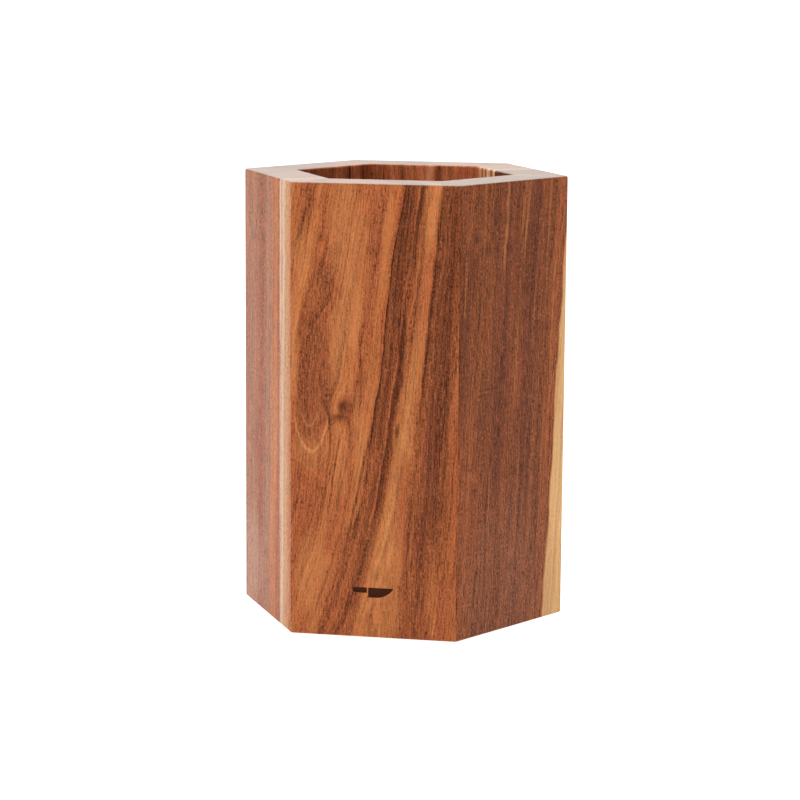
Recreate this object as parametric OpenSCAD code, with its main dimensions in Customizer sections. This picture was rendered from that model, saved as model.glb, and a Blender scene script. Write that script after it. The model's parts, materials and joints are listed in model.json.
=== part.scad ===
// Hexagonal knife block: six mitred wooden walls glued up from staves, a base panel held in a
// groove, six stick-on feet, and a lift-out insert of flexible rods standing in a tray.
// The origin is on the surface that the block stands on, below its axis. +Z is up, -Y the front.

/* [Block] */
// Height of the wooden walls
wall_h = 225; // [150:1:280]
// Width of the block across its outer flats
across_flats = 145; // [120:1:200]
// Thickness of each wall
wall_t = 24; // [18:1:28]
// Radius on the outer upright corners
corner_r = 1.5; // [0.5:0.1:3]
// Chamfer on the rim and on the bottom outer edge
edge_chamfer = 0.8; // [0.3:0.1:2]

/* [Staves] */
// Width of the narrow stave at the front left corner, on the outer face
narrow_stave_w = 19.5; // [12:0.5:25]
// Seam of the back right wall, from the middle of the wall
back_right_seam = -1; // [-15:0.5:15]
// Seam of the back wall, from the middle of the wall
back_seam = -1.5; // [-15:0.5:15]
// Seam of the back left wall, from the middle of the wall
back_left_seam = -12.5; // [-15:0.5:15]

/* [Base panel] */
// Thickness of the base panel
panel_t = 9; // [6:0.5:15]
// Height of the panel's underside above the bottom edge of the walls
panel_lift = 8; // [5:0.5:20]
// Depth of the groove that holds the panel
groove_d = 6; // [3:0.5:10]
// Gap left around the panel for the wood to swell
panel_gap = 0.5; // [0.2:0.1:1.5]
// Free height above the panel in its groove
groove_play = 0.2; // [0.1:0.05:0.5]

/* [Feet] */
// Radius of a foot where it is stuck to the wood
foot_r = 4.5; // [3:0.1:8]
// Radius of a foot where it stands
foot_tip_r = 3.8; // [2:0.1:7]
// Thickness of a foot
foot_h = 1.5; // [1:0.1:4]

/* [Burned mark] */
// Length of the burned knife mark
mark_l = 20.6; // [10:0.1:40]
// Height of the mark's middle above the bottom edge of the walls
mark_z = 22.8; // [15:0.1:60]
// Depth of the mark
mark_d = 0.4; // [0.2:0.1:1]

/* [Insert tray] */
// Gap between the tray and the walls
insert_gap = 1; // [0.5:0.1:3]
// Thickness of the tray's sides
tray_t = 1.8; // [1.2:0.1:3]
// Thickness of the tray's floor
tray_floor = 2.5; // [1.5:0.1:4]
// Height of the tray's sides above its floor
tray_h = 30; // [15:1:60]
// Height of the pips under the tray
tray_pip_h = 1.5; // [1:0.1:3]
// Radius of a pip
tray_pip_r = 4; // [2:0.1:6]
// Radius of a drain hole in the tray's floor
drain_r = 3; // [1.5:0.1:5]

/* [Rods] */
// Radius of a rod
rod_r = 1.5; // [1:0.05:2]
// Gap between neighbouring rods
rod_gap = 1.2; // [0.6:0.1:3]
// Distance from the rods' tips up to the rim
rod_below_rim = 14; // [5:1:40]
// Chamfer on a rod's tip
rod_chamfer = 0.6; // [0.2:0.1:0.9]
// Thickness of the plate that the rods are fused to
root_t = 3; // [2:0.1:5]
// Height of the pips under the root plate
root_pip_h = 1; // [0.5:0.1:2]
// Gap between the root plate and the tray's sides
root_gap = 0.5; // [0.3:0.1:1]

/* [Hidden] */

// The way each wall faces, as its outward normal's angle about +Z
FRONT = 270;
FRONT_RIGHT = 330;
BACK_RIGHT = 30;
BACK = 90;
BACK_LEFT = 150;
FRONT_LEFT = 210;

// Half an outer side, and half the side of the opening
half_side = across_flats / 2 * tan(30);
opening_af = across_flats - 2 * wall_t;
half_opening_side = opening_af / 2 * tan(30);

corner_steps = 4;
round_fn = 48;
mark_fn = 120;
rod_fn = 24;
overcut = 1;

// Heights, from the surface that the block stands on
wall_z = foot_h;
rim_z = wall_z + wall_h;
panel_z = wall_z + panel_lift;
tray_z = panel_z + panel_t + tray_pip_h;
root_z = tray_z + tray_floor + root_pip_h;
rod_z = root_z + root_t;
rod_l = rim_z - rod_below_rim - rod_z;

panel_af = opening_af + 2 * (groove_d - panel_gap);
groove_af = opening_af + 2 * groove_d;
tray_af = opening_af - 2 * insert_gap;
tray_inner_af = tray_af - 2 * tray_t;
root_af = tray_inner_af - 2 * root_gap;
rod_pitch = 2 * rod_r + rod_gap;
// Rings of rods about the middle one, as many as fit on the root plate
rod_rings = floor((root_af / 2 - rod_r) / (rod_pitch * cos(30)));

pip_circle_r = tray_af / 2 - tray_t - tray_pip_r;
drain_circle_r = pip_circle_r / 2;
foot_circle_r = (across_flats + opening_af) / 4;

// A hexagon with its corners on the X axis
module hexagon(af) {
    circle(r = af / 2 / cos(30), $fn = 6);
}

module hex_plate(af, t) {
    linear_extrude(height = t) hexagon(af);
}

// Places things at six equal angles, starting at the front
module six_times(radius) {
    for (angle = [FRONT_RIGHT : 60 : FRONT_RIGHT + 300])
        rotate([0, 0, angle]) translate([radius, 0, 0]) children();
}

// The outline of a stave in a wall that faces +X, from u_from to u_to along +Y. An end at half a
// side is a mitre with its share of the rounded corner, and any other end is a square seam.
function rounded_end(side) = [
    for (step = [0 : corner_steps])
        let (turn = 30 * step / corner_steps)
        [across_flats / 2 - corner_r + corner_r * cos(turn),
         side * (half_side - corner_r * tan(30) + corner_r * sin(turn))]
];
function reversed(points) = [for (i = [len(points) - 1 : -1 : 0]) points[i]];
function outer_end(u, side) =
    abs(u) >= half_side ? rounded_end(side) : [[across_flats / 2, u]];
function inner_end(u, side) =
    [opening_af / 2, abs(u) >= half_side ? side * half_opening_side : u];
function stave_outline(u_from, u_to) = concat(
    [inner_end(u_from, -1)],
    reversed(outer_end(u_from, -1)),
    outer_end(u_to, 1),
    [inner_end(u_to, 1)]
);

// A bar that cuts a chamfer of edge_chamfer along an edge parallel to Y
module chamfer_bar() {
    bar = edge_chamfer * sqrt(2);
    rotate([0, 45, 0]) cube([bar, 2 * across_flats, bar], center = true);
}

module stave(facing, u_from, u_to) {
    translate([0, 0, wall_z]) rotate([0, 0, facing]) difference() {
        linear_extrude(height = wall_h) polygon(stave_outline(u_from, u_to));
        translate([0, 0, panel_lift])
            rotate([0, 0, 30]) hex_plate(groove_af, panel_t + groove_play);
        translate([across_flats / 2, 0, wall_h]) chamfer_bar();
        translate([opening_af / 2, 0, wall_h]) chamfer_bar();
        translate([across_flats / 2, 0, 0]) chamfer_bar();
    }
}

// A plain cook's knife, lying along X about the origin, its edge down
module knife_outline() {
    blade_l = mark_l * 0.62;
    handle_l = mark_l - blade_l;
    blade_w = mark_l * 0.24;
    handle_w = blade_w * 0.55;
    bolster_gap = mark_l * 0.03;
    heel = -mark_l / 2 + handle_l;
    // The edge runs straight from the heel, then in an arc up to the tip
    belly = blade_l * 0.3;
    belly_r = (pow(blade_l - belly, 2) + pow(blade_w, 2)) / (2 * blade_w);
    translate([heel, -blade_w / 2]) {
        square([belly, blade_w]);
        intersection() {
            translate([belly, 0]) square([blade_l - belly, blade_w]);
            translate([belly, belly_r]) circle(r = belly_r, $fn = mark_fn);
        }
    }
    // The handle has a round end, and a gap stands for the bolster
    translate([-mark_l / 2 + handle_w / 2, blade_w / 2 - handle_w]) {
        square([handle_l - handle_w / 2 - bolster_gap, handle_w]);
        translate([0, handle_w / 2]) circle(d = handle_w, $fn = round_fn);
    }
}

module front_wall() {
    color([0.66, 0.36, 0.18]) difference() {
        stave(FRONT, -half_side, half_side);
        translate([0, -across_flats / 2 + mark_d, wall_z + mark_z]) rotate([90, 0, 0])
            linear_extrude(height = mark_d + overcut) knife_outline();
    }
}

module front_right_wall() {
    color([0.47, 0.26, 0.16]) stave(FRONT_RIGHT, -half_side, half_side);
}

module front_left_wall_wide_stave() {
    color([0.68, 0.44, 0.33]) stave(FRONT_LEFT, -half_side, half_side - narrow_stave_w);
}

module front_left_wall_narrow_stave() {
    color([0.85, 0.68, 0.5]) stave(FRONT_LEFT, half_side - narrow_stave_w, half_side);
}

module back_right_wall_front_stave() {
    color([0.5, 0.22, 0.12]) stave(BACK_RIGHT, -half_side, back_right_seam);
}

module back_right_wall_rear_stave() {
    color([0.78, 0.55, 0.35]) stave(BACK_RIGHT, back_right_seam, half_side);
}

module back_wall_right_stave() {
    color([0.6, 0.33, 0.18]) stave(BACK, -half_side, back_seam);
}

module back_wall_left_stave() {
    color([0.5, 0.26, 0.15]) stave(BACK, back_seam, half_side);
}

module back_left_wall_rear_stave() {
    color([0.53, 0.27, 0.15]) stave(BACK_LEFT, -half_side, back_left_seam);
}

module back_left_wall_front_stave() {
    color([0.42, 0.22, 0.14]) stave(BACK_LEFT, back_left_seam, half_side);
}

module base_panel() {
    color([0.55, 0.34, 0.2]) translate([0, 0, panel_z]) hex_plate(panel_af, panel_t);
}

module foot(facing) {
    color([0.12, 0.12, 0.12]) rotate([0, 0, facing]) translate([foot_circle_r, 0, 0])
        cylinder(h = foot_h, r1 = foot_tip_r, r2 = foot_r, $fn = round_fn);
}

module insert_tray() {
    color([0.1, 0.1, 0.11]) translate([0, 0, tray_z]) difference() {
        union() {
            hex_plate(tray_af, tray_floor + tray_h);
            six_times(pip_circle_r) translate([0, 0, -tray_pip_h])
                cylinder(h = tray_pip_h + tray_floor / 2, r = tray_pip_r, $fn = round_fn);
        }
        translate([0, 0, tray_floor]) hex_plate(tray_inner_af, tray_h + overcut);
        translate([0, 0, -overcut]) {
            cylinder(h = tray_floor + 2 * overcut, r = drain_r, $fn = round_fn);
            six_times(drain_circle_r)
                cylinder(h = tray_floor + 2 * overcut, r = drain_r, $fn = round_fn);
        }
    }
}

module rod_root_plate() {
    color([0.14, 0.14, 0.15]) translate([0, 0, root_z]) {
        hex_plate(root_af, root_t);
        six_times(pip_circle_r) translate([0, 0, -root_pip_h])
            cylinder(h = root_pip_h + root_t / 2, r = tray_pip_r / 2, $fn = round_fn);
    }
}

module rod() {
    rotate_extrude($fn = rod_fn) polygon([
        [0, 0], [rod_r, 0], [rod_r, rod_l - rod_chamfer], [rod_r - rod_chamfer, rod_l], [0, rod_l],
    ]);
}

// Rows of rods along X, which together fill a hexagon of rod_rings rings
module flexible_rods() {
    color([0.08, 0.08, 0.09]) translate([0, 0, rod_z])
        for (row = [-rod_rings : rod_rings]) {
            in_row = 2 * rod_rings - abs(row);
            for (i = [0 : in_row])
                translate([(i - in_row / 2) * rod_pitch, row * rod_pitch * cos(30), 0]) rod();
        }
}

front_wall();
front_right_wall();
front_left_wall_wide_stave();
front_left_wall_narrow_stave();
back_right_wall_front_stave();
back_right_wall_rear_stave();
back_wall_right_stave();
back_wall_left_stave();
back_left_wall_rear_stave();
back_left_wall_front_stave();
base_panel();
foot(FRONT);  // foot_front
foot(FRONT_RIGHT);  // foot_front_right
foot(BACK_RIGHT);  // foot_back_right
foot(BACK);  // foot_back
foot(BACK_LEFT);  // foot_back_left
foot(FRONT_LEFT);  // foot_front_left
insert_tray();
rod_root_plate();
flexible_rods();
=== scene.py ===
"""A hexagonal wooden knife block with a lift-out insert of flexible rods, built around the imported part."""

import json
import math
import random

import bmesh
import bpy
from mathutils import Matrix, Vector


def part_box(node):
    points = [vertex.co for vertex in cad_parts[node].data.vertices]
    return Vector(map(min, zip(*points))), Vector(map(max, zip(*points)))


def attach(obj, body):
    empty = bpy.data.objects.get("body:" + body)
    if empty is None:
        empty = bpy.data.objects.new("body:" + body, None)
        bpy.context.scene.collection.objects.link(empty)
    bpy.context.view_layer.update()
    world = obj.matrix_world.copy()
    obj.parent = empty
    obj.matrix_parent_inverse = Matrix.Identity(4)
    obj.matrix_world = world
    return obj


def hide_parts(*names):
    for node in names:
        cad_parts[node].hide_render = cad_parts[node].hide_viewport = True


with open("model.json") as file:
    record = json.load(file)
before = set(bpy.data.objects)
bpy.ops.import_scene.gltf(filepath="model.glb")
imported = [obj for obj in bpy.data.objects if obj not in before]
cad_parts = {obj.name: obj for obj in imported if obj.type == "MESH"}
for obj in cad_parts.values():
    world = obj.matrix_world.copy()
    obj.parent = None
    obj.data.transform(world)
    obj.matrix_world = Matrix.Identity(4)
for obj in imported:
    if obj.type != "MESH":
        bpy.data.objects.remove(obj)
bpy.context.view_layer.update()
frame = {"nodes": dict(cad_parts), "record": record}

MM = 0.001

# The way each wall faces, as its outward normal's angle about +Z
FRONT, FRONT_RIGHT, BACK_RIGHT, BACK, BACK_LEFT, FRONT_LEFT = 270, 330, 30, 90, 150, 210

# Sizes taken from the frame, in metres
front_low, front_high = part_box("front_wall")
OUTER = -front_low.y
OPENING = -front_high.y
WOOD_BOTTOM = front_low.z
RIM = front_high.z
MITRE = math.tan(math.radians(30))
HALF_SIDE = OUTER * MITRE
HALF_OPENING_SIDE = OPENING * MITRE

# How much light a wall that faces the camera reflects from the room
ROOM_REFLECTION = 0.004

# How the edges are eased
CORNER_RADIUS = 1.5 * MM
RIM_RADIUS = 1.1 * MM
BOTTOM_RADIUS = 0.8 * MM
ARC_STEPS = 6
HEX_CORNER_STEPS = 5

# Faces that meet at less than this many degrees are shaded as one smooth surface
SMOOTH_BELOW = 35

# The burned mark: its length, the height of its middle above the wood's bottom edge, and its depth
MARK_LENGTH = 20.6 * MM
MARK_HEIGHT = 22.8 * MM
MARK_DEPTH = 0.4 * MM

WORLD_UP = Vector((0, 0, 1))


# ---------------------------------------------------------------------------------------------
# Material graphs: numbers and colours in a node tree, with arithmetic
# ---------------------------------------------------------------------------------------------

def linear(colour):
    """A colour as 0 to 255 display values, to the linear values that shaders take."""
    return [((c / 255 + 0.055) / 1.055) ** 2.4 if c > 10 else c / 255 / 12.92 for c in colour] + [1.0]


def bare(colour):
    """The wood's own linear colour: what is displayed, less the pale reflection of the room on it."""
    return [max(c - ROOM_REFLECTION, c * 0.25) for c in linear(colour)[:3]] + [1.0]


class Number:
    """A number that varies over the surface. Arithmetic on it adds Math nodes."""

    def __init__(self, graph, socket):
        self.graph = graph
        self.socket = socket

    def __add__(self, other):
        return self.graph.math("ADD", self, other)

    def __sub__(self, other):
        return self.graph.math("SUBTRACT", self, other)

    def __rsub__(self, other):
        return self.graph.math("SUBTRACT", other, self)

    def __mul__(self, other):
        return self.graph.math("MULTIPLY", self, other)

    def __truediv__(self, other):
        return self.graph.math("DIVIDE", self, other)

    def __neg__(self):
        return self.graph.math("MULTIPLY", self, -1.0)

    __radd__ = __add__


class Graph:
    """One material's node tree. x, y and z are the place in the row frame, in millimetres."""

    def __init__(self, name):
        self.material = bpy.data.materials.new(name)
        self.material.use_nodes = True
        self.tree = self.material.node_tree
        self.shader = self.tree.nodes["Principled BSDF"]
        place = self.add("ShaderNodeTexCoord")
        split = self.add("ShaderNodeSeparateXYZ")
        self.tree.links.new(place.outputs["Object"], split.inputs[0])
        self.x, self.y, self.z = (Number(self, s) * (1 / MM) for s in split.outputs)

    def add(self, kind):
        return self.tree.nodes.new(kind)

    def put(self, value, socket):
        """Links a number or colour to a socket, or sets the socket to a constant."""
        if isinstance(value, Number):
            self.tree.links.new(value.socket, socket)
        elif isinstance(value, bpy.types.NodeSocket):
            self.tree.links.new(value, socket)
        else:
            socket.default_value = value

    def math(self, operation, *values):
        node = self.add("ShaderNodeMath")
        node.operation = operation
        for value, socket in zip(values, node.inputs):
            self.put(value, socket)
        return Number(self, node.outputs[0])

    def smooth(self, value, low, high):
        """0 below low, 1 above high, and an S curve between them."""
        node = self.add("ShaderNodeMapRange")
        node.interpolation_type = "SMOOTHSTEP"
        self.put(value, node.inputs["Value"])
        self.put(low, node.inputs["From Min"])
        self.put(high, node.inputs["From Max"])
        return Number(self, node.outputs[0])

    def far(self, distances):
        """The sum of the squares of distances, each as a share of its own width."""
        total = 0.0
        for distance, width in distances:
            part = distance / width
            total = part * part + total
        return total

    def bell(self, *distances):
        """1 where every distance is 0, falling smoothly away over their widths."""
        return self.math("EXPONENT", -self.far(distances))

    def spot(self, *distances):
        """As bell, with a wider top and a definite edge."""
        return 1.0 - self.smooth(self.far(distances), 0.1, 1.8)

    def window(self, value, low, high, fade):
        """1 from low to high, falling smoothly to 0 over the fade inside each end."""
        return self.smooth(value, low, low + fade) * (1.0 - self.smooth(value, high - fade, high))

    def noise(self, x, y, z, detail=2.0, roughness=0.5):
        """Smooth noise about 0, mostly from -0.5 to 0.5."""
        vector = self.add("ShaderNodeCombineXYZ")
        for value, socket in zip((x, y, z), vector.inputs):
            self.put(value, socket)
        node = self.add("ShaderNodeTexNoise")
        self.tree.links.new(vector.outputs[0], node.inputs["Vector"])
        node.inputs["Scale"].default_value = 1.0
        node.inputs["Detail"].default_value = detail
        node.inputs["Roughness"].default_value = roughness
        return Number(self, node.outputs["Fac"]) - 0.5

    def ramp(self, value, stops):
        """The colours in stops, each at its own value, blended smoothly."""
        low, high = stops[0][0], stops[-1][0]
        node = self.add("ShaderNodeValToRGB")
        node.color_ramp.interpolation = "EASE"
        self.put((value - low) / (high - low), node.inputs[0])
        marks = node.color_ramp.elements
        while len(marks) < len(stops):
            marks.new(1.0)
        for mark, (place, colour) in zip(marks, stops):
            mark.position = (place - low) / (high - low)
            mark.color = bare(colour)
        return node.outputs[0]

    def blend(self, factor, first, second, kind="MIX"):
        node = self.add("ShaderNodeMix")
        node.data_type = "RGBA"
        node.blend_type = kind
        self.put(factor, node.inputs["Factor"])
        self.put(first, node.inputs[6])
        self.put(second, node.inputs[7])
        return node.outputs[2]

    def brightness(self, colour):
        node = self.add("ShaderNodeRGBToBW")
        self.put(colour, node.inputs[0])
        return Number(self, node.outputs[0])

    def shade(self, colour, amount):
        """Multiplies a colour by a number, the same for red, green and blue."""
        grey = self.add("ShaderNodeCombineXYZ")
        for socket in grey.inputs:
            self.put(amount, socket)
        return self.blend(1.0, colour, grey.outputs[0], "MULTIPLY")

    def bump(self, height, distance):
        """Raises the surface by height times distance, in metres."""
        node = self.add("ShaderNodeBump")
        node.inputs["Distance"].default_value = distance
        self.put(height, node.inputs["Height"])
        self.tree.links.new(node.outputs[0], self.shader.inputs["Normal"])

    def finish(self, colour, roughness, specular=0.5):
        self.put(colour, self.shader.inputs["Base Color"])
        self.put(roughness, self.shader.inputs["Roughness"])
        self.shader.inputs["Specular IOR Level"].default_value = specular
        return self.material


# ---------------------------------------------------------------------------------------------
# Acacia wood
# ---------------------------------------------------------------------------------------------

# Displayed colours of oiled acacia
INK = (52, 26, 16)
UMBER = (82, 42, 25)
DARK = (108, 58, 34)
SEPIA = (120, 66, 42)
BROWN = (132, 74, 44)
CHESTNUT = (144, 78, 48)
RUSSET = (152, 84, 50)
ORANGE = (170, 100, 58)
HONEY = (179, 113, 68)
TAN = (200, 136, 86)
# The gold of the painted sheen along the grain, also the tint of a few gold lines of grain
GOLD_AND_SHEEN = (187, 124, 74)
ROSE = (172, 102, 78)
CEDAR = (168, 88, 54)
COPPER = (202, 114, 74)
# Pale pinkish browns that carry painted light: the grazing reflection of the white sweep on the front-left
# wall, and bounce from the floor low on the walls
FAWN_WITH_PAINTED_LIGHT = (154, 101, 76)
BUFF_WITH_PAINTED_LIGHT = (174, 130, 107)
PEACH = (228, 150, 104)
APRICOT = (240, 172, 124)
BLOND = (250, 204, 154)
SAPWOOD = (220, 172, 118)
AMBER = (182, 126, 85)
WHEAT = (182, 138, 96)
CREAM = (197, 164, 137)
REDDISH = (232, 192, 176)
# The rim's end grain with a painted reflection of the bright room in it, which makes it pale
END_GRAIN_AND_GLARE = (203, 194, 185)

# The height above the wood's bottom edge where a board's colours are given, in mm
LEVEL = 150.0

# Where lean_fade begins and ends, in mm across the wall at LEVEL
FADE_FROM, FADE_TO = 12.0, 50.0

# How much the growth rings curve through the thickness, for each mm, as a share of ring_tilt
RING_CURVE = 0.012

# How far below the rim the pale end grain with its painted glare begins and is complete, in mm
END_GRAIN_AND_GLARE_FROM, END_GRAIN_AND_GLARE_TO = 0.5, 0.05


def wood(name, facing, stops, seed, inside=None, lean=0.1, curl=0.0, lean_fade=0.0, swirls=(),
         patches=(), loops=(), strokes=(), knots=(), streaks=1.0, grit=1.0, ring_tilt=0.7, mark=False):
    """A board of acacia in the wall that faces one way.

    stops are the colours across the board, in mm from the middle of the wall at LEVEL, and inside
    those of the face towards the insert, at the rim, where they differ. lean and curl slant and bend
    the grain, lean_fade straightens it towards the right edge, and ring_tilt slants the growth rings
    through the thickness. swirls push the grain aside, patches tint it, loops are thin growth lines
    that close round a knot, strokes are single lines of grain from a low to a high place, and knots
    are dark. streaks and grit say how strong the long and the fine figure are, and mark chars the
    floor of the burned mark."""
    graph = Graph(name)
    angle = math.radians(facing)
    u = graph.y * math.cos(angle) - graph.x * math.sin(angle)
    depth = OUTER / MM - (graph.x * math.cos(angle) + graph.y * math.sin(angle))
    z = graph.z - WOOD_BOTTOM / MM

    # Grain: a line of constant grain follows the wood's fibres on the outer face
    wood_height = (RIM - WOOD_BOTTOM) / MM
    h = z - LEVEL
    slant = h * lean + h * h * h * curl
    if lean_fade:
        slant = slant * (1.0 - graph.smooth(u - slant, FADE_FROM, FADE_TO) * lean_fade)
    grain = u - slant + depth * ring_tilt + depth * depth * (ring_tilt * RING_CURVE)
    for swirl_u, swirl_z, half_width, half_height, push in swirls:
        near = graph.bell((u - swirl_u, half_width), (z - swirl_z, half_height))
        grain = grain + near * push
    slow = graph.noise(u / 16 + seed, depth / 30, z / 60, 2.0)
    ripple = graph.noise(u / 4 + seed, depth / 9, z / 22, 3.0)
    ragged = graph.noise(u / 0.9 + seed, depth / 2, z / 9, 2.0)
    grain = grain + slow * 5.0 + ripple * 3.0 + ragged * 0.8

    colour = graph.ramp(grain, stops)
    if inside:
        across = u - (z - wood_height) * lean + slow * 2.0 + ripple * 1.2 + ragged
        thickness = (OUTER - OPENING) / MM
        inner_face = graph.smooth(depth, thickness - 3.0, thickness - 0.5)
        colour = graph.blend(inner_face, colour, graph.ramp(across, inside))

    # Clouds of red along the grain, and gold clouds along it that are a painted sheen on the wood's own
    # colour
    warmth = graph.noise(grain / 3.0 + seed * 5.0, depth / 20, z / 40, 2.0)
    sheen = graph.noise(grain / 5.5 - seed * 3.0, depth / 20, z / 34, 2.0, 0.45)
    light = graph.brightness(colour)
    medium = graph.smooth(light, 0.1, 0.2) * (1.0 - graph.smooth(light, 0.3, 0.42))
    painted_sheen = graph.smooth(sheen, -0.05, 0.2) * medium
    colour = graph.blend(painted_sheen * 0.4, colour, bare(GOLD_AND_SHEEN))
    colour = graph.blend(graph.smooth(warmth, 0.0, 0.22) * 0.45, colour, linear(REDDISH), "MULTIPLY")

    # Tinted patches and single lines, in the place that they have on the face
    for patch_u, patch_z, half_width, half_height, tint, strength in patches:
        near = graph.spot((u - patch_u + ripple * 3.0 + ragged, half_width), (z - patch_z, half_height))
        colour = graph.blend(near * strength, colour, bare(tint))
    for low, high, (u_low, u_middle, u_high), width, tint, strength in strokes:
        t = (z - low) / (high - low)
        bow = 2.0 * (u_low + u_high) - 4.0 * u_middle
        course = t * (t * bow + (u_high - u_low - bow)) + u_low
        line = graph.bell((u - course + ripple * 2.0 + ragged * 0.6, width))
        broken = line * graph.window(t, 0.0, 1.0, 0.3) * (0.85 + ragged * 1.6) * strength
        colour = graph.blend(broken, colour, bare(tint))
    for loop_u, loop_z, half_width, half_height, from_z, tint, strength in loops:
        a = (u - loop_u + ripple * 1.5) / half_width
        b = (z - loop_z) / half_height
        line = graph.bell((a * a + b * b - 1.0, 0.06))
        line = line * (1.0 - graph.smooth(z, from_z, from_z + 14.0))
        colour = graph.blend(line * strength, colour, bare(tint))

    # Growth lines, streaks of colour, fibres and pores, from wide to fine. Light wood is calmer
    wide = graph.noise(grain / 4.0 - seed, depth / 30, z / 90, 3.0, 0.6)
    lines = graph.noise(grain / 1.1 + seed, seed * 2.0, z / 120, 3.0, 0.65)
    fibre = graph.noise(u / 0.55 + seed, depth / 0.55, z / 7, 2.0, 0.6)
    fleck = graph.noise(u / 0.6 + seed, depth / 0.6, z / 1.5, 2.0, 0.6)
    light = graph.brightness(colour)
    calm = 1.0 - graph.smooth(light, 0.08, 0.2) * 0.52
    plain = 1.0 - graph.smooth(light, 0.24, 0.4) * 0.5
    red_fleck = graph.smooth(fleck + fibre * 0.5, 0.06, 0.24) * calm
    colour = graph.blend(red_fleck * (0.24 * grit), colour, bare(ROSE))
    long_figure = (lines * 2.2 + wide * 1.0) * (0.4 + calm * 0.6) * streaks
    short_figure = (fibre * 2.8 + fleck * 3.0) * calm * grit
    uneven = (long_figure + short_figure) * plain
    uneven = graph.math("MINIMUM", uneven, uneven * 0.7)
    colour = graph.shade(colour, graph.math("MAXIMUM", 0.96 + uneven, 0.25))
    hair = graph.noise(grain / 1.7 + seed * 3.0, seed, z / 150, 2.0, 0.5)
    dark_line = graph.smooth(hair, 0.13, 0.22) * graph.smooth(fibre, -0.3, 0.1)
    colour = graph.blend(dark_line * calm * plain * (0.6 * streaks), colour, bare(DARK))
    pores = graph.smooth(graph.noise(u / 0.6 - seed, depth / 0.6, z / 2.4, 1.0), 0.12, 0.24)
    colour = graph.blend(pores * calm * plain * 0.5, colour, bare(UMBER))

    for knot_u, knot_z, half_width, half_height in knots:
        wobble = graph.noise(u / 2.0, seed, z / 3.0, 3.0) * 2.5
        near = graph.bell((u - knot_u + wobble, half_width), (z - knot_z + wobble * 1.5, half_height))
        colour = graph.blend(near * 0.9, colour, bare(UMBER))

    # The glue line in each mitre, and on the rim the end grain, painted pale with a painted reflection of the
    # bright room at a grazing angle
    glue = graph.smooth(graph.math("ABSOLUTE", u) + depth * MITRE, HALF_SIDE / MM - 0.45, HALF_SIDE / MM)
    colour = graph.blend(glue * 0.15, colour, bare(UMBER))
    # Painted glare: the top half millimetre of the rim turns pale, as the room's reflection at a grazing
    # angle
    end_grain_and_glare = graph.smooth(z, wood_height - END_GRAIN_AND_GLARE_FROM, wood_height - END_GRAIN_AND_GLARE_TO)
    colour = graph.blend(end_grain_and_glare * 0.6, colour, bare(END_GRAIN_AND_GLARE))

    height = fibre * 0.5 - pores * 1.2 + lines * 0.3
    roughness = 0.42 + fibre * 0.12 + pores * 0.15 + wide * 0.06
    if mark:
        # The floor of the burned mark is charred
        burned = graph.window(depth, 0.08, 1.2, 0.12) * graph.window(z, 10.0, 38.0, 2.0)
        soot = graph.noise(u / 0.8, seed, z / 0.8, 3.0)
        charred = graph.ramp(soot, [(-0.5, (38, 20, 14)), (0.5, (74, 40, 28))])
        colour = graph.blend(burned, colour, charred)
        roughness = roughness + burned * 0.25
    graph.bump(height, 0.08 * MM)
    return graph.finish(colour, roughness, specular=0.06)


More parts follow.
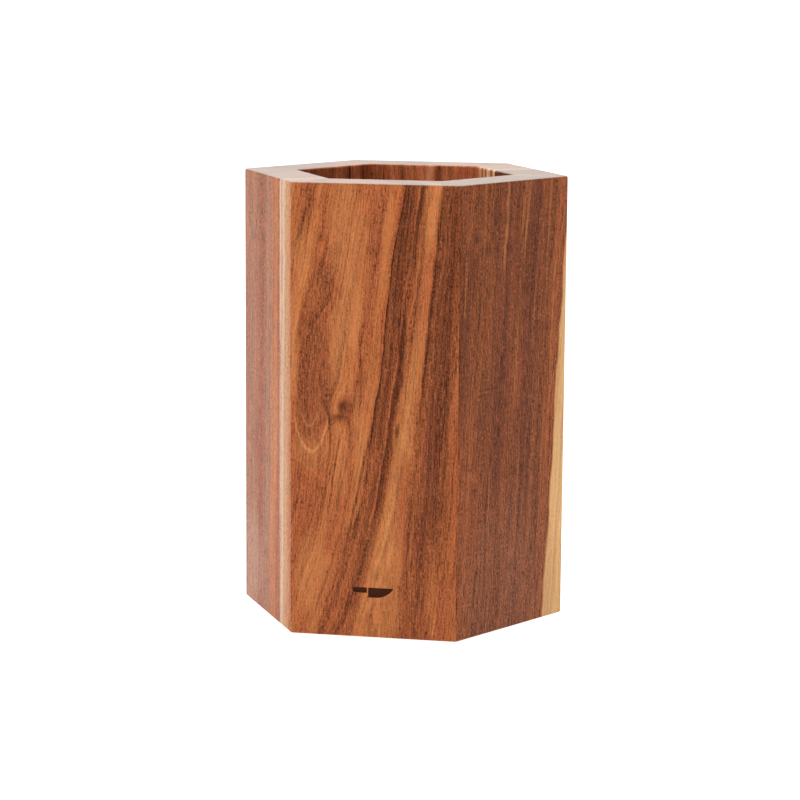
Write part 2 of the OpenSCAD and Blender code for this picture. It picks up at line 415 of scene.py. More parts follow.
# Each wooden piece: its node, the way it faces, and its board. A place is given in mm across the wall
# from its middle and up from the wood's bottom edge.
# swirls: place, half width, half height, push
# patches: place, half width, half height, tint, strength
# strokes: low and high end, the line's places across at its low end, middle and high end, width,
#   tint, strength
# loops: middle, half width, half height, the height above which the loop fades, tint, strength
# knots: place, half width, half height
BOARDS = {
    "front_wall": dict(
        facing=FRONT, seed=3.1, lean=0.115, curl=4.4e-6, lean_fade=0.6, mark=True,
        stops=[
            (-52, ORANGE), (-44, RUSSET), (-38, ORANGE), (-32, RUSSET), (-26, RUSSET), (-17, RUSSET),
            (-10, ORANGE), (-5, RUSSET), (2, ORANGE), (4.4, RUSSET), (5.0, INK), (6.0, DARK), (7.5, BROWN),
            (9, DARK), (10.4, DARK), (11.4, CHESTNUT), (12.4, RUSSET), (13.4, UMBER), (15, DARK),
            (16.5, BROWN), (18.5, ORANGE), (21.5, HONEY), (24, ORANGE), (28, BROWN), (31, SEPIA),
            (34, SEPIA), (38, BROWN), (43, RUSSET), (48, RUSSET), (56, ORANGE),
        ],
        swirls=[(-30, 130, 9, 36, 11), (-16, 115, 4, 8, 5), (11.5, 104, 2.5, 8, 2.5)],
        patches=[
            (-15, 203, 8, 30, HONEY, 0.65), (-12, 162, 5, 22, HONEY, 0.6), (-37, 188, 4, 18, HONEY, 0.6),
            (-40.5, 148, 2.5, 26, HONEY, 0.8), (-18, 146, 5, 22, HONEY, 0.65), (-31, 93, 9, 9, HONEY, 0.35),
            (-30, 130, 8, 30, SEPIA, 0.62), (-31, 138, 3, 22, BROWN, 0.5), (-25, 178, 3.5, 9, BROWN, 0.75),
            (-37, 68, 9, 16, CHESTNUT, 0.65), (-31, 30, 9, 20, HONEY, 0.6), (-16, 88, 3.5, 16, HONEY, 0.5),
            (8, 34, 11, 26, HONEY, 0.45), (14.5, 100, 3, 24, HONEY, 0.5), (-8, 98, 3.5, 22, HONEY, 0.55),
            (-1, 205, 2.6, 22, CHESTNUT, 0.65), (18, 196, 3, 30, DARK, 0.7), (38, 205, 5, 34, DARK, 0.5),
            (25, 178, 5, 24, RUSSET, 0.8), (19, 165, 4, 20, RUSSET, 0.75), (-22, 109, 4.5, 3.2, BROWN, 0.7),
            (12, 60, 4, 12, RUSSET, 0.6), (34, 160, 4, 24, DARK, 0.4),
            (22, 68, 7, 12, BROWN, 0.6), (14, 82, 5, 11, RUSSET, 0.7), (22, 104, 3, 20, RUSSET, 0.5),
            (30, 66, 6, 8, DARK, 0.5), (0, 86, 3.5, 12, RUSSET, 0.7),
            (-4, 64, 4, 16, RUSSET, 0.85), (-12, 38, 7, 18, RUSSET, 0.9), (-20, 12, 9, 20, RUSSET, 0.85),
            (17, 26, 4, 34, RUSSET, 0.85), (26, 22, 6, 30, RUSSET, 0.75), (30, 18, 3, 16, ORANGE, 0.5),
        ],
        strokes=[
            (188, 236, (-41, -34, -23), 1.6, DARK, 0.75), (184, 226, (-38, -33, -28), 0.8, BROWN, 0.7),
            (138, 192, (-40, -35, -23), 0.9, DARK, 0.75), (106, 156, (-8, -6.5, -8.5), 0.8, DARK, 0.75),
            (112, 150, (-11, -10, -14), 0.6, BROWN, 0.7), (55, 110, (-24, -20, -14.5), 0.7, DARK, 0.85),
            (50, 104, (-28, -23, -17), 0.6, BROWN, 0.8), (62, 100, (-19, -17, -14), 0.5, DARK, 0.6),
            (116, 160, (-15, -13, -17), 0.6, BROWN, 0.6), (30, 116, (-17, -8, 0.5), 0.8, UMBER, 0.9),
            (-20, 60, (-34, -22, -11), 1.3, SEPIA, 0.5),
            (8, 120, (-11, -1.5, 9.5), 0.7, UMBER, 0.8), (-10, 96, (-21, -7, 3.5), 0.6, DARK, 0.8),
            (8, 94, (-13, -5, 1.5), 0.5, DARK, 0.7), (20, 110, (-2, 2, 11), 0.6, DARK, 0.6),
            (118, 236, (12, 13.5, 21), 0.8, UMBER, 0.8), (150, 236, (8, 12.5, 18.5), 0.6, INK, 0.7),
            (84, 250, (20, 28.2, 36), 0.9, INK, 0.9), (60, 206, (29, 32.5, 38), 0.7, UMBER, 0.8),
            (10, 126, (22, 26, 30), 0.6, UMBER, 0.65),
            (90, 236, (34, 37.5, 41), 0.8, UMBER, 0.7), (-10, 80, (17, 17, 19), 0.6, DARK, 0.7),
            (-10, 60, (30, 30, 32), 1.0, ORANGE, 0.6), (40, 116, (5, 10, 15), 1.2, GOLD_AND_SHEEN, 0.7),
            (60, 150, (34, 36, 37), 0.9, UMBER, 0.6), (190, 240, (25, 26.5, 28), 1.4, GOLD_AND_SHEEN, 0.4),
            (80, 160, (26, 29, 32), 0.6, INK, 0.6), (-10, 70, (24, 25, 27), 0.6, UMBER, 0.5),
            (124, 200, (-3, 0, 3), 0.6, BROWN, 0.5), (0, 60, (2, 5, 8), 0.6, RUSSET, 0.6),
        ],
        loops=[
            (-31.5, 130, 10, 37.5, 102, TAN, 0.6), (-32.5, 130, 6, 25, 108, TAN, 0.32),
            (-31.5, 130, 12.5, 46, 90, HONEY, 0.3),
        ],
        knots=[(-15.6, 115.5, 2.8, 3.2), (-17.2, 110, 2.8, 2.0), (11.5, 104, 1.0, 3.4)],
    ),
    "front_right_wall": dict(
        facing=FRONT_RIGHT, seed=7.7, lean=0.075, streaks=1.0, grit=1.2,
        stops=[
            (-52, BROWN), (-40, DARK), (-30, BROWN), (-20, BROWN), (-10, SEPIA), (-4, SEPIA), (3, BROWN),
            (8, SEPIA), (15, SEPIA), (20, BROWN), (27, BROWN), (32, RUSSET), (34.9, RUSSET), (36.5, BROWN),
            (37.3, TAN), (38.3, SAPWOOD), (60, SAPWOOD),
        ],
        patches=[
            # The wide pale patch low on this wall is painted bounce light from the floor, lighter towards the
            # bottom
            (-36, 60, 12, 52, RUSSET, 0.55), (0, 10, 34, 56, FAWN_WITH_PAINTED_LIGHT, 0.3), (-12, 40, 6, 30, BROWN, 0.45),
            (22, 150, 3, 34, RUSSET, 0.45), (12, 185, 7, 24, DARK, 0.45), (-34, 215, 6, 26, RUSSET, 0.4),
            (-8, 185, 6, 20, SEPIA, 0.4), (4, 128, 3, 16, RUSSET, 0.5),
        ],
        strokes=[
            (180, 250, (7, 11, 17), 0.9, HONEY, 0.75), (186, 250, (3, 8, 12), 0.6, ORANGE, 0.7),
            (170, 250, (-9, -6, -3), 0.9, HONEY, 0.65), (176, 250, (-25, -23, -20), 0.8, ORANGE, 0.8),
            (190, 250, (-34, -32, -29), 1.1, ORANGE, 0.7), (180, 250, (1, 3, 6), 1.3, UMBER, 0.65),
            (186, 250, (-18, -15, -12), 1.0, UMBER, 0.55), (146, 250, (24, 27, 30), 0.7, ORANGE, 0.7),
            (104, 168, (0, 2, 3), 1.1, ORANGE, 0.6), (92, 150, (14, 16, 19), 0.7, ORANGE, 0.6),
            (14, 104, (2, 4, 6), 1.1, ORANGE, 0.6), (6, 96, (-20, -18, -19), 0.8, ORANGE, 0.5),
            (116, 224, (-30, -27, -24), 0.8, UMBER, 0.55), (96, 204, (20, 23, 27), 0.7, UMBER, 0.6),
            (66, 144, (-14, -12, -10), 1.0, DARK, 0.6), (116, 204, (28, 31, 34), 0.7, HONEY, 0.5),
            (40, 120, (-32, -30, -28), 0.8, DARK, 0.5), (30, 110, (10, 12, 14), 0.9, UMBER, 0.45),
            (0, 70, (20, 20, 21), 1.0, UMBER, 0.45), (150, 220, (-38, -37, -35), 0.8, ORANGE, 0.6),
            (110, 190, (-20, -18, -15), 0.7, ORANGE, 0.5), (130, 210, (14, 17, 20), 0.6, ORANGE, 0.5),
            (60, 130, (22, 24, 27), 0.7, ORANGE, 0.5), (20, 80, (-8, -8, -6), 0.7, ORANGE, 0.4),
        ],
    ),
    "front_left_wall_wide_stave": dict(
        facing=FRONT_LEFT, seed=12.3, lean=0.03, streaks=0.8, grit=1.8,
        # Its pale pinkish colours hold a painted sheen, the grazing reflection of the white sweep on this
        # wall
        stops=[
            (-52, BUFF_WITH_PAINTED_LIGHT), (-40, FAWN_WITH_PAINTED_LIGHT), (-24, FAWN_WITH_PAINTED_LIGHT), (-10, CHESTNUT), (-2, FAWN_WITH_PAINTED_LIGHT), (6, FAWN_WITH_PAINTED_LIGHT),
            (11, ORANGE), (16, ORANGE), (20, RUSSET), (34, ORANGE),
        ],
        patches=[
            # The pale patch low at the left is painted bounce light from the floor
            (-32, 22, 22, 26, BUFF_WITH_PAINTED_LIGHT, 0.6), (-14, 86, 16, 9, CHESTNUT, 0.5), (12, 105, 6, 40, HONEY, 0.4),
            (-8, 170, 3, 30, BROWN, 0.4),
        ],
    ),
    "front_left_wall_narrow_stave": dict(
        facing=FRONT_LEFT, seed=17.9, lean=0.02, streaks=0.6, ring_tilt=0.25, grit=2.0,
        stops=[
            (14, CREAM), (24, CREAM), (25.5, BUFF_WITH_PAINTED_LIGHT), (27, CREAM), (29, CREAM), (31.5, WHEAT), (33.5, WHEAT),
            (37, AMBER), (42, ORANGE), (56, ORANGE),
        ],
        patches=[(22, 136, 3, 10, FAWN_WITH_PAINTED_LIGHT, 0.6)],
    ),
    "back_right_wall_front_stave": dict(
        facing=BACK_RIGHT, seed=23.3, lean=-0.05, streaks=0.9,
        stops=[(-56, BROWN), (-36, DARK), (-24, RUSSET), (-12, DARK), (0, BROWN), (24, DARK)],
        inside=[(-40, UMBER), (-20, DARK), (0, DARK)],
    ),
    "back_right_wall_rear_stave": dict(
        facing=BACK_RIGHT, seed=29.1, lean=0.04, streaks=0.7, ring_tilt=0.1,
        stops=[(-12, CREAM), (2, SAPWOOD), (6, HONEY), (16, ORANGE), (20, TAN), (28, RUSSET), (56, BROWN)],
        inside=[
            (-2, BLOND), (0.5, BLOND), (2, APRICOT), (4.5, RUSSET), (7, APRICOT), (10, BLOND), (12, RUSSET),
            (14.5, APRICOT), (17, RUSSET), (20, APRICOT), (24, COPPER), (34, CEDAR),
        ],
        swirls=[(22, 84, 7, 24, -9)], knots=[(22, 84, 2.4, 3.4)],
    ),
    "back_wall_right_stave": dict(
        facing=BACK, seed=31.9, lean=-0.09,
        stops=[
            (-56, ORANGE), (-38, RUSSET), (-26, HONEY), (-18, DARK), (-12, ORANGE), (4, HONEY), (24, BROWN),
        ],
        inside=[
            (-34, COPPER), (-11, COPPER), (-9.4, CHESTNUT), (-7.6, BROWN), (-6.4, COPPER), (-4, PEACH),
            (-1, COPPER),
        ],
    ),
    "back_wall_left_stave": dict(
        facing=BACK, seed=37.7, lean=0.07,
        stops=[(-16, RUSSET), (2, BROWN), (12, UMBER), (17, RUSSET), (28, BROWN), (42, ORANGE), (60, HONEY)],
        inside=[
            (-2, COPPER), (8, COPPER), (10.6, CEDAR), (11.4, BROWN), (12.2, CEDAR), (16, COPPER), (22, CEDAR),
            (34, CHESTNUT),
        ],
    ),
    "back_left_wall_rear_stave": dict(
        facing=BACK_LEFT, seed=41.3, lean=0.05,
        stops=[(-56, ORANGE), (-38, HONEY), (-28, RUSSET), (-18, ORANGE), (10, BROWN)],
        inside=[(-34, CEDAR), (-23.6, CEDAR), (-22.6, UMBER), (-21.6, CEDAR), (-18, COPPER), (-12, COPPER)],
    ),
    "back_left_wall_front_stave": dict(
        facing=BACK_LEFT, seed=47.1, lean=-0.06, streaks=0.9,
        stops=[(-30, RUSSET), (-10, BROWN), (0, UMBER), (8, BROWN), (18, RUSSET), (30, DARK), (60, BROWN)],
        inside=[(-14, UMBER), (-12, UMBER), (-11, CEDAR), (-4, COPPER), (10, CEDAR), (28, CEDAR)],
    ),
}


# ---------------------------------------------------------------------------------------------
# Meshes
# ---------------------------------------------------------------------------------------------

def mesh_object(name, vertices, faces, smooth_below=SMOOTH_BELOW):
    """A mesh whose edges are smooth where its faces meet at less than smooth_below degrees."""
    mesh = bpy.data.meshes.new(name)
    mesh.from_pydata([tuple(v) for v in vertices], [], faces)
    shape = bmesh.new()
    shape.from_mesh(mesh)
    bmesh.ops.recalc_face_normals(shape, faces=shape.faces)
    shape.to_mesh(mesh)
    shape.free()
    mesh.polygons.foreach_set("use_smooth", [True] * len(mesh.polygons))
    mesh.set_sharp_from_angle(angle=math.radians(smooth_below))
    piece = bpy.data.objects.new(name, mesh)
    bpy.context.scene.collection.objects.link(piece)
    return piece


def weight_normals(piece):
    """Keeps flat faces flat to the eye where they run into a rounded edge."""
    modifier = piece.modifiers.new("flat_faces", "WEIGHTED_NORMAL")
    modifier.keep_sharp = True
    modifier.weight = 100


def loft(name, rings):
    """A closed solid through rings that have the same number of points, with flat end caps."""
    count = len(rings[0])
    vertices = [point for ring in rings for point in ring]
    faces = []
    for start in range(0, (len(rings) - 1) * count, count):
        for i in range(count):
            after = (i + 1) % count
            faces.append([start + i, start + after, start + count + after, start + count + i])
    faces.append(list(range(count))[::-1])
    faces.append([(len(rings) - 1) * count + i for i in range(count)])
    return mesh_object(name, vertices, faces)


def wall_axes(facing):
    """The wall's outward and sideways directions."""
    angle = math.radians(facing)
    return Vector((math.cos(angle), math.sin(angle), 0)), Vector((-math.sin(angle), math.cos(angle), 0))


def stave_span(node, facing):
    """How far a stave reaches along its wall, from the CAD node's own corners."""
    along = wall_axes(facing)[1]
    places = [v.co.dot(along) for v in frame["nodes"][node].data.vertices]
    return min(places), max(places)


def is_mitre(u):
    """Whether a stave's end is at a corner of the block, and not at a glue seam."""
    return abs(u) > HALF_OPENING_SIDE + 1 * MM


def stave_section(u_from, u_to, outer_ease, inner_ease):
    """A stave's outline as (along, outward) pairs, its outer and inner faces moved into the wood."""
    outer = OUTER - outer_ease
    inner = OPENING + inner_ease
    radius = CORNER_RADIUS - outer_ease

    def outer_end(u, side):
        if not is_mitre(u):
            return [(u, outer)]
        centre_out = OUTER - CORNER_RADIUS
        centre_along = HALF_SIDE - CORNER_RADIUS * MITRE
        turns = [math.radians(30) * i / ARC_STEPS for i in range(ARC_STEPS + 1)]
        return [
            (side * (centre_along + radius * math.sin(t)), centre_out + radius * math.cos(t))
            for t in turns
        ]

    def inner_end(u, side):
        return (side * inner * MITRE if is_mitre(u) else u, inner)

    return (
        [inner_end(u_from, -1)]
        + outer_end(u_from, -1)[::-1]
        + outer_end(u_to, 1)
        + [inner_end(u_to, 1)]
    )


def eased_heights():
    """(height, outer ease, inner ease) up a stave, rounding the outer bottom edge and the rim."""
    quarter = [math.pi / 2 * i / ARC_STEPS for i in range(ARC_STEPS + 1)]
    bottom = [
        (WOOD_BOTTOM + BOTTOM_RADIUS * (1 - math.sin(t)), BOTTOM_RADIUS * (1 - math.cos(t)), 0.0)
        for t in quarter[::-1]
    ]
    rim = []
    for t in quarter:
        ease = RIM_RADIUS * (1 - math.cos(t))
        rim.append((RIM - RIM_RADIUS * (1 - math.sin(t)), ease, ease))
    return bottom + rim


def stave(name, node, facing):
    """One board of a wall, as long along the wall as its CAD node, with its edges eased."""
    outward, along = wall_axes(facing)
    u_from, u_to = stave_span(node, facing)
    rings = [
        [along * u + outward * d + WORLD_UP * z for u, d in stave_section(u_from, u_to, outer, inner)]
        for z, outer, inner in eased_heights()
    ]
    return loft(name, rings)


def hex_ring(flats, z, corner_radius=0.0):
    """A hexagon's outline with two corners on the X axis, flats from the axis to each side. A sharp
    corner is one point."""
    turns = [0.0]
    if corner_radius:
        turns = [math.radians(60) * (i / HEX_CORNER_STEPS - 0.5) for i in range(HEX_CORNER_STEPS + 1)]
    points = []
    for corner in range(6):
        middle = math.radians(60 * corner)
        centre = (flats - corner_radius) / math.cos(math.radians(30))
        for turn in turns:
            t = middle + turn
            points.append(Vector((
                centre * math.cos(middle) + corner_radius * math.cos(t),
                centre * math.sin(middle) + corner_radius * math.sin(t),
                z,
            )))
    return points


def knife_outlines(length):
    """The blade's and the handle's outlines of the burned mark, along X about the origin."""
    blade = length * 0.62
    handle = length - blade
    blade_width = length * 0.24
    handle_width = blade_width * 0.55
    bolster_gap = length * 0.03
    heel = -length / 2 + handle
    belly = blade * 0.3
    belly_radius = ((blade - belly) ** 2 + blade_width ** 2) / (2 * blade_width)
    sweep = math.asin((blade - belly) / belly_radius)
    low = -blade_width / 2
    steps = 16
    edge = [
        (heel + belly + belly_radius * math.sin(sweep * i / steps),
         low + belly_radius * (1 - math.cos(sweep * i / steps)))
        for i in range(steps + 1)
    ]
    blade_outline = [(heel, -low), (heel, low)] + edge
    round_x = -length / 2 + handle_width / 2
    round_y = -low - handle_width / 2
    end = [
        (round_x - handle_width / 2 * math.sin(math.pi * i / steps),
         round_y + handle_width / 2 * math.cos(math.pi * i / steps))
        for i in range(steps + 1)
    ]
    right = -length / 2 + handle - bolster_gap
    handle_outline = end + [(right, -low - handle_width), (right, -low)]
    return blade_outline, handle_outline


def combine(piece, other, operation):
    """Cuts another piece out of a piece or makes the two one solid, and removes the other."""
    change = piece.modifiers.new("combine", "BOOLEAN")
    change.operation = operation
    change.solver = "EXACT"
    change.object = other
    bpy.context.view_layer.update()
    mesh = bpy.data.meshes.new_from_object(piece.evaluated_get(bpy.context.evaluated_depsgraph_get()))
    piece.modifiers.clear()
    piece.data = mesh
    bpy.data.objects.remove(other)
    mesh.set_sharp_from_angle(angle=math.radians(SMOOTH_BELOW))


def cut_mark(wall):
    """Cuts the burned knife mark into the front wall, with a cutter that stands well proud of it."""
    for index, outline in enumerate(knife_outlines(MARK_LENGTH)):
        rings = [
            [Vector((x, -OUTER + offset, WOOD_BOTTOM + MARK_HEIGHT + z)) for x, z in outline]
            for offset in (MARK_DEPTH, -5 * MM)
        ]
        combine(wall, loft(f"mark_cutter_{index}", rings), "DIFFERENCE")


def place(piece, node, body, slot, material):
    """Puts a finished piece in the frame, in the place of its CAD node."""
    piece.data.materials.clear()
    piece.data.materials.append(material)
    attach(piece, body)
    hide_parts(node)


SLOTS = {entry["node"]: entry["material_slot"] for entry in frame["record"]["subparts"]}


# ---------------------------------------------------------------------------------------------
# The wooden block
# ---------------------------------------------------------------------------------------------

for node, board in BOARDS.items():
    piece = stave(node + "_board", node, board["facing"])
    if board.get("mark"):
        cut_mark(piece)
    weight_normals(piece)
    place(piece, node, "block", SLOTS[node], wood(node + "_acacia", **board))

panel_low, panel_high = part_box("base_panel")
PANEL_EASE = 0.6 * MM
panel_rings = [
    hex_ring(panel_high.y - inset, z)
    for inset, z in (
        (PANEL_EASE, panel_low.z), (0.0, panel_low.z + PANEL_EASE),
        (0.0, panel_high.z - PANEL_EASE), (PANEL_EASE, panel_high.z),
    )
]
panel_wood = wood(
    "base_panel_acacia", facing=FRONT, seed=53.7, lean=0.0, ring_tilt=0.2,
    stops=[(-60, RUSSET), (-30, ORANGE), (-8, BROWN), (10, ORANGE), (34, RUSSET), (60, BROWN)],
)
place(loft("base_panel_board", panel_rings), "base_panel", "block", SLOTS["base_panel"], panel_wood)


# ---------------------------------------------------------------------------------------------
# Plastic and rubber
# ---------------------------------------------------------------------------------------------

def plastic(name, dark, light, roughness, grain_size, relief):
    """Moulded plastic or rubber with a fine texture and a little unevenness."""
    graph = Graph(name)
    texture = graph.noise(graph.x / grain_size, graph.y / grain_size, graph.z / grain_size, 2.0)
    cloud = graph.noise(graph.x / 14, graph.y / 14, graph.z / 14, 3.0)
    colour = graph.ramp(texture * 0.5 + cloud, [(-0.4, dark), (0.4, light)])
    graph.bump(texture, relief)
    return graph.finish(colour, roughness + cloud * 0.12 + texture * 0.1)


foot_rubber = plastic("foot_rubber", (30, 30, 31), (48, 47, 46), 0.72, 0.5, 0.05 * MM)
tray_plastic = plastic("tray_plastic", (34, 34, 36), (52, 52, 54), 0.48, 0.35, 0.03 * MM)
rod_plastic = plastic("rod_plastic", (26, 26, 28), (44, 44, 46), 0.38, 0.9, 0.02 * MM)


def lathe(name, centre, profile, steps=40):
    """A closed round solid from (radius, height) pairs, bottom to top."""
    turns = [2 * math.pi * i / steps for i in range(steps)]
    rings = [
        [Vector((centre.x + r * math.cos(t), centre.y + r * math.sin(t), z)) for t in turns]
        for r, z in profile
    ]
    return loft(name, rings)


# A foot tapers to its tip, whose edge is rounded, and keeps its full width just under the wood
FOOT_TAPER = 0.84
FOOT_EASE = 0.4 * MM
FOOT_SHOULDER = 0.3 * MM

for node in sorted(n for n in frame["nodes"] if n.startswith("foot_")):
    low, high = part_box(node)
    centre = (low + high) / 2
    radius = (high.x - low.x) / 2
    tip_radius = radius * FOOT_TAPER
    profile = [
        (tip_radius - FOOT_EASE, low.z), (tip_radius, low.z + FOOT_EASE * 0.6),
        (radius, high.z - FOOT_SHOULDER), (radius, high.z),
    ]
    place(lathe(node + "_pad", centre, profile), node, "block", SLOTS[node], foot_rubber)


# ---------------------------------------------------------------------------------------------
# The lift-out insert
# ---------------------------------------------------------------------------------------------

tray_low, tray_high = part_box("insert_tray")
root_low, root_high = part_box("rod_root_plate")
rods_low, rods_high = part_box("flexible_rods")

# How far pips reach into their plate, and drills past the floor that they go through
OVERLAP = 1.0 * MM

TRAY_WALL = 1.8 * MM
TRAY_FLOOR = 2.5 * MM
TRAY_CORNER = 3.0 * MM
LIP = 0.8 * MM
PIP_HEIGHT = 1.5 * MM
PIP_RADIUS = 4.0 * MM
PIP_EASE = 0.35 * MM
DRAIN_RADIUS = 3.0 * MM
DRAIN_STEPS = 24
tray_floor_low = tray_low.z + PIP_HEIGHT
tray_half = tray_high.y


def tray():
    """The tray without its pips and holes: a hexagonal cup with rounded corners and a rounded lip."""
    inner = tray_half - TRAY_WALL
    inner_corner = TRAY_CORNER - TRAY_WALL
    levels = [
        (tray_half - LIP, tray_floor_low, TRAY_CORNER - LIP),
        (tray_half - LIP * 0.3, tray_floor_low + LIP * 0.3, TRAY_CORNER - LIP * 0.3),
        (tray_half, tray_floor_low + LIP, TRAY_CORNER),
        (tray_half, tray_high.z - LIP, TRAY_CORNER),
        (tray_half - LIP * 0.3, tray_high.z - LIP * 0.3, TRAY_CORNER - LIP * 0.3),
        (tray_half - TRAY_WALL / 2, tray_high.z, TRAY_CORNER - TRAY_WALL / 2),
        (inner + LIP * 0.2, tray_high.z - LIP * 0.3, inner_corner + LIP * 0.2),
        (inner, tray_high.z - LIP, inner_corner),
        (inner, tray_floor_low + TRAY_FLOOR, inner_corner),
    ]
    return loft("tray_cup", [hex_ring(flats, z, corner) for flats, z, corner in levels])


def join(name, pieces):
    """Several meshes as one piece."""
    shape = bmesh.new()
    for piece in pieces:
        shape.from_mesh(piece.data)
        bpy.data.objects.remove(piece)
    mesh = bpy.data.meshes.new(name)
    shape.to_mesh(mesh)
    shape.free()
    joined = bpy.data.objects.new(name, mesh)
    bpy.context.scene.collection.objects.link(joined)
    return joined


def add_pips(plate, circle_radius, radius, low, high):
    """Six round pips under a plate, from low up into it, each with a rounded tip."""
    profile = [(radius - PIP_EASE, low), (radius, low + PIP_EASE), (radius, high + OVERLAP)]
    made = [
        lathe(f"{plate.name}_pip_{angle}", wall_axes(angle)[0] * circle_radius, profile)
        for angle in range(30, 390, 60)
    ]
    combine(plate, join(plate.name + "_pips", made), "UNION")


def drilled(piece, centres, radius, low, high):
    """Cuts round holes through a piece."""
    profile = [(radius, low), (radius, high)]
    drills = [lathe(f"drill_{index}", centre, profile, DRAIN_STEPS) for index, centre in enumerate(centres)]
    combine(piece, join("drill", drills), "DIFFERENCE")


pip_circle = tray_half - TRAY_WALL - PIP_RADIUS
tray_piece = tray()
add_pips(tray_piece, pip_circle, PIP_RADIUS, tray_low.z, tray_floor_low)
drains = [Vector((0, 0, 0))] + [wall_axes(angle)[0] * (pip_circle / 2) for angle in range(30, 390, 60)]
drilled(tray_piece, drains, DRAIN_RADIUS, tray_floor_low - OVERLAP, tray_floor_low + TRAY_FLOOR + OVERLAP)
weight_normals(tray_piece)
place(tray_piece, "insert_tray", "insert", SLOTS["insert_tray"], tray_plastic)

ROOT_PIP_HEIGHT = 1.0 * MM
ROOT_EASE = 0.5 * MM
ROOT_CORNER = 1.5 * MM
root_floor = root_low.z + ROOT_PIP_HEIGHT
root_rings = [
    hex_ring(root_high.y - inset, z, ROOT_CORNER)
    for inset, z in (
        (ROOT_EASE, root_floor), (0.0, root_floor + ROOT_EASE),
        (0.0, root_high.z - ROOT_EASE), (ROOT_EASE, root_high.z),
    )
]
root_piece = loft("root_plate", root_rings)
add_pips(root_piece, pip_circle, PIP_RADIUS / 2, root_low.z, root_floor)
weight_normals(root_piece)
place(root_piece, "rod_root_plate", "insert", SLOTS["rod_root_plate"], rod_plastic)

ROD_RADIUS = 1.5 * MM
ROD_GAP = 1.2 * MM
ROD_PITCH = 2 * ROD_RADIUS + ROD_GAP
ROW_PITCH = ROD_PITCH * math.cos(math.radians(30))
ROD_SIDES = 12

# How a rod's tip differs from a straight rod's: moved aside at random by up to SWAY each way, drawn in
# by up to GATHER of its distance from the axis, and lower by up to SHORTFALL
SWAY = 0.3 * MM
GATHER = 0.004
SHORTFALL = 0.8 * MM


def rods():
    """Every rod as a slim round bar with a domed tip, each swaying a little its own way."""
    chance = random.Random(11)
    rings_of_rods = round((rods_high.y - ROD_RADIUS) / ROW_PITCH)
    vertices, faces = [], []
    climb = [i / 6 for i in range(7)]
    dome = [math.radians(angle) for angle in (20, 45, 70)]
    turns = [2 * math.pi * i / ROD_SIDES for i in range(ROD_SIDES)]
    for row in range(-rings_of_rods, rings_of_rods + 1):
        in_row = 2 * rings_of_rods - abs(row)
        for place_in_row in range(in_row + 1):
            foot = Vector(((place_in_row - in_row / 2) * ROD_PITCH, row * ROW_PITCH, rods_low.z))
            lean = Vector((chance.uniform(-1, 1), chance.uniform(-1, 1), 0)) * SWAY
            if foot.length > 0:
                edge = max(abs(foot.x) / rods_high.x, abs(foot.y) / rods_high.y)
                lean -= Vector((foot.x, foot.y, 0)) * (GATHER * edge)
            body_top = rods_high.z - ROD_RADIUS - chance.uniform(0, SHORTFALL)
            stations = [(ROD_RADIUS, rods_low.z + (body_top - rods_low.z) * t, t) for t in climb]
            stations += [(ROD_RADIUS * math.cos(a), body_top + ROD_RADIUS * math.sin(a), 1.0) for a in dome]
            start = len(vertices)
            for radius, z, t in stations:
                middle = foot + lean * t * t
                vertices += [
                    (middle.x + radius * math.cos(a), middle.y + radius * math.sin(a), z) for a in turns
                ]
            for level in range(len(stations) - 1):
                for i in range(ROD_SIDES):
                    a = start + level * ROD_SIDES
                    b = (i + 1) % ROD_SIDES
                    faces.append([a + i, a + b, a + ROD_SIDES + b, a + ROD_SIDES + i])
            faces.append([start + i for i in range(ROD_SIDES)][::-1])
            faces.append([start + (len(stations) - 1) * ROD_SIDES + i for i in range(ROD_SIDES)])
    return mesh_object("rod_bundle", vertices, faces, smooth_below=60)


place(rods(), "flexible_rods", "insert", SLOTS["flexible_rods"], rod_plastic)


# ---------------------------------------------------------------------------------------------
# Stage, light and camera
# ---------------------------------------------------------------------------------------------

def floor():
    """A wide pale floor that gives off light, so that it is white round the block."""
    half = 60.0
    corners = [(-half, -half, 0), (half, -half, 0), (half, half, 0), (-half, half, 0)]
    piece = mesh_object("floor", corners, [[0, 1, 2, 3]])
    material = bpy.data.materials.new("pale_floor")
    material.use_nodes = True
    shader = material.node_tree.nodes["Principled BSDF"]
    shader.inputs["Base Color"].default_value = (0.6, 0.6, 0.6, 1)
    shader.inputs["Roughness"].default_value = 0.9
    shader.inputs["Specular IOR Level"].default_value = 0.0
    shader.inputs["Emission Color"].default_value = (1, 1, 1, 1)
    shader.inputs["Emission Strength"].default_value = 1.0
    piece.data.materials.append(material)


def softbox(name, place_at, aim, width, height, power):
    """A soft studio light of width by height metres, in watts."""
    data = bpy.data.lights.new(name, "AREA")
    data.shape = "RECTANGLE"
    data.size = width
    data.size_y = height
    data.energy = power
    lamp = bpy.data.objects.new(name, data)
    lamp.location = place_at
    lamp.rotation_euler = (Vector(aim) - Vector(place_at)).to_track_quat("-Z", "Y").to_euler()
    bpy.context.scene.collection.objects.link(lamp)


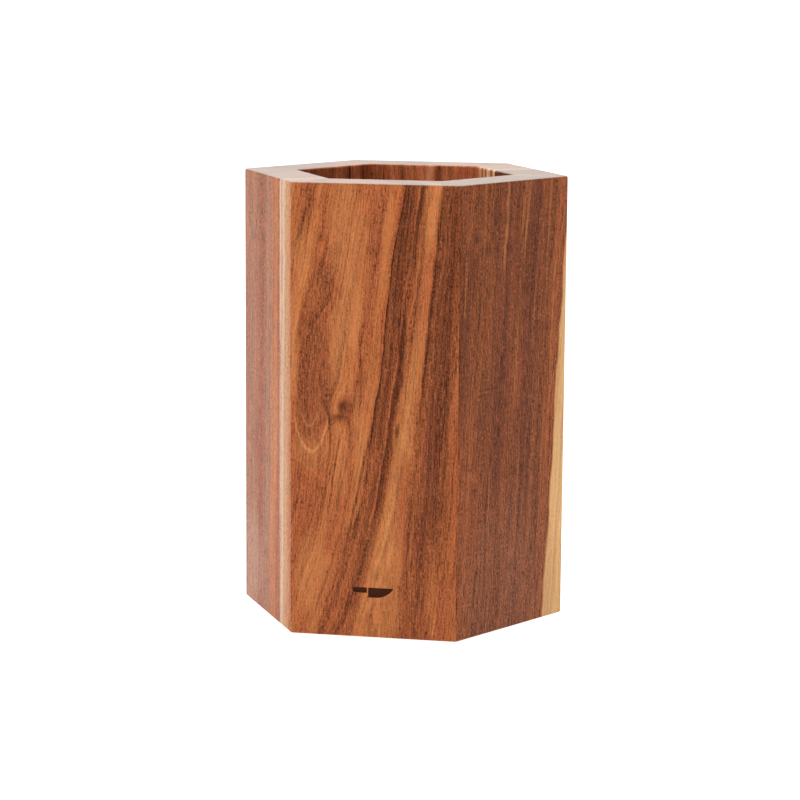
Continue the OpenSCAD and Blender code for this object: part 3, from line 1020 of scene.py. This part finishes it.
def studio_world(back_light, front_light):
    """A white sweep behind the block and to its left, and a dimmer room elsewhere. The camera sees
    only white."""
    world = bpy.data.worlds.new("studio")
    world.use_nodes = True
    tree = world.node_tree
    place = tree.nodes.new("ShaderNodeTexCoord")
    towards = tree.nodes.new("ShaderNodeVectorMath")
    towards.operation = "DOT_PRODUCT"
    towards.inputs[1].default_value = (-0.5, 0.87, 0.0)
    level = tree.nodes.new("ShaderNodeMapRange")
    level.interpolation_type = "SMOOTHSTEP"
    level.inputs["From Min"].default_value = -0.3
    level.inputs["From Max"].default_value = 0.7
    level.inputs["To Min"].default_value = front_light
    level.inputs["To Max"].default_value = back_light
    ray = tree.nodes.new("ShaderNodeLightPath")
    seen = tree.nodes.new("ShaderNodeMix")
    seen.inputs["B"].default_value = 1.0
    tree.links.new(place.outputs["Generated"], towards.inputs[0])
    tree.links.new(towards.outputs["Value"], level.inputs["Value"])
    tree.links.new(ray.outputs["Is Camera Ray"], seen.inputs["Factor"])
    tree.links.new(level.outputs[0], seen.inputs["A"])
    background = tree.nodes["Background"]
    background.inputs["Color"].default_value = (1, 1, 1, 1)
    tree.links.new(seen.outputs[0], background.inputs["Strength"])
    bpy.context.scene.world = world


def camera():
    """A long lens, a little to the right of the front and a little above the rim."""
    azimuth, elevation, roll = math.radians(11.23), math.radians(9.53), math.radians(0.417)
    distance = 1.3673
    off_right, off_up = 1.56 * MM, 4.9 * MM
    level = Vector((math.sin(azimuth), -math.cos(azimuth), 0))
    back = level * math.cos(elevation) + WORLD_UP * math.sin(elevation)
    right = WORLD_UP.cross(back).normalized()
    up = back.cross(right)
    right, up = right * math.cos(roll) + up * math.sin(roll), up * math.cos(roll) - right * math.sin(roll)
    target = Vector((0, 0, (WOOD_BOTTOM + RIM) / 2))
    seat = target + back * distance - right * off_right - up * off_up
    data = bpy.data.cameras.new("camera")
    data.sensor_width = 36
    data.lens = 119.5
    data.clip_end = 30
    view = bpy.data.objects.new("camera", data)
    view.matrix_world = Matrix.Translation(seat) @ Matrix((right, up, back)).transposed().to_4x4()
    bpy.context.scene.collection.objects.link(view)
    bpy.context.scene.camera = view


floor()
studio_world(1.1, 0.06)
aim_at = (0, 0, 0.13)
softbox("key", (-0.9, -1.5, 1.2), aim_at, 1.0, 1.0, 16)
softbox("fill", (1.5, -1.2, 0.8), aim_at, 1.0, 1.2, 5)
softbox("top", (0.0, -0.2, 1.7), aim_at, 1.0, 1.0, 18)
camera()
bpy.context.scene.view_settings.view_transform = "Standard"
